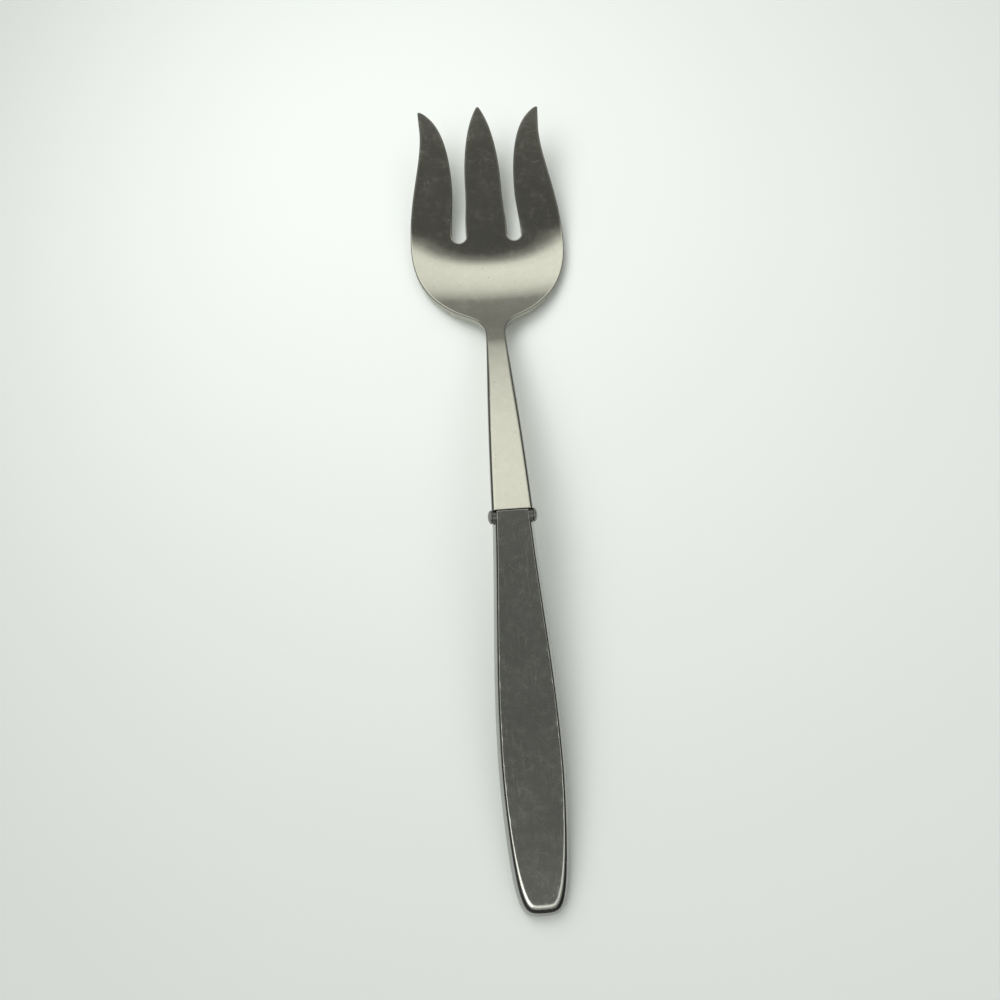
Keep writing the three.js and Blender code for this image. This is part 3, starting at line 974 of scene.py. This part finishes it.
def buildFloor(look):
    mesh = bmesh.new()
    bmesh.ops.create_grid(mesh, x_segments=24, y_segments=24, size=look["floorSize"] / 2)
    data = bpy.data.meshes.new("floor")
    mesh.to_mesh(data)
    mesh.free()
    made = bpy.data.objects.new("floor", data)
    scene.collection.objects.link(made)
    material = bpy.data.materials.new("paleFloor")
    material.use_nodes = True
    desk = NodeDesk(material.node_tree)
    place = desk.add("ShaderNodeTexCoord", {}, {}, "Object")
    colour = desk.mixColour(desk.noise(place, look["floorCloud"], 3), look["floorShade"], look["floor"])
    paint = desk.add("ShaderNodeBsdfPrincipled", {}, {
        "Base Color": colour, "Roughness": look["floorRough"], "Specular IOR Level": look["floorGloss"]})
    desk.add("ShaderNodeOutputMaterial", {}, {"Surface": paint})
    made.data.materials.append(material)


def buildSky(look):
    world = bpy.data.worlds.new("softRoom")
    world.use_nodes = True
    scene.world = world
    desk = NodeDesk(world.node_tree)
    toward = desk.add("ShaderNodeTexCoord", {}, {}, "Generated")

    def facing(direction):
        return desk.add("ShaderNodeVectorMath", {"operation": "DOT_PRODUCT"},
                        {0: toward, 1: direction}, "Value")

    top = max(level for _, level in look["sky"])
    stops = []
    for height, level in look["sky"]:
        stops.append((height, (*(level / top * part for part in look["skyTint"]), 1)))
    colour = desk.add("ShaderNodeValToRGB", {"stops": stops}, {0: facing((0, 0, 1))})
    nearGlow = desk.between(facing(Vector(look["glow"]).normalized()), *look["glowSpread"])
    strength = nearGlow * look["glowLevel"] + (facing(look["skyLean"]) + 1) * top
    mirrored = 0
    for ray in ("Is Camera Ray", "Is Glossy Ray", "Is Transmission Ray"):
        mirrored = desk.add("ShaderNodeLightPath", {}, {}, ray) + mirrored
    mirrored = desk.add("ShaderNodeClamp", {}, {"Value": mirrored})
    strength = strength * (mirrored * (1 - look["skyFill"]) + look["skyFill"])
    glow = desk.add("ShaderNodeBackground", {}, {"Color": colour, "Strength": strength})
    desk.add("ShaderNodeOutputWorld", {}, {"Surface": glow})


def buildLamp(look):
    lamp = bpy.data.lights.new("softLamp", "AREA")
    lamp.shape = "DISK"
    lamp.size = look["lampSize"]
    lamp.energy = look["lampPower"]
    made = bpy.data.objects.new("softLamp", lamp)
    made.location = look["lampPlace"]
    aim = Vector(look["lampAim"]) - Vector(look["lampPlace"])
    made.rotation_euler = aim.to_track_quat("-Z", "Y").to_euler()
    made.visible_glossy = False  # the steel mirrors the room, the lamp only lights it
    scene.collection.objects.link(made)


def buildCamera(look):
    lens = bpy.data.cameras.new("camera")
    lens.lens = look["lens"]
    lens.sensor_width = look["sensor"]
    lens.sensor_fit = "HORIZONTAL"
    lens.clip_start = 0.01
    made = bpy.data.objects.new("camera", lens)
    made.location = look["cameraPlace"]
    made.rotation_euler = (math.radians(look["cameraTilt"]), 0, math.radians(look["cameraTurn"]))
    scene.collection.objects.link(made)
    scene.camera = made


buildFloor(stageLook)
buildSky(stageLook)
buildLamp(stageLook)
buildCamera(stageLook)
scene.view_settings.view_transform = "Standard"
print("stage: floor, sky, lamp, camera")
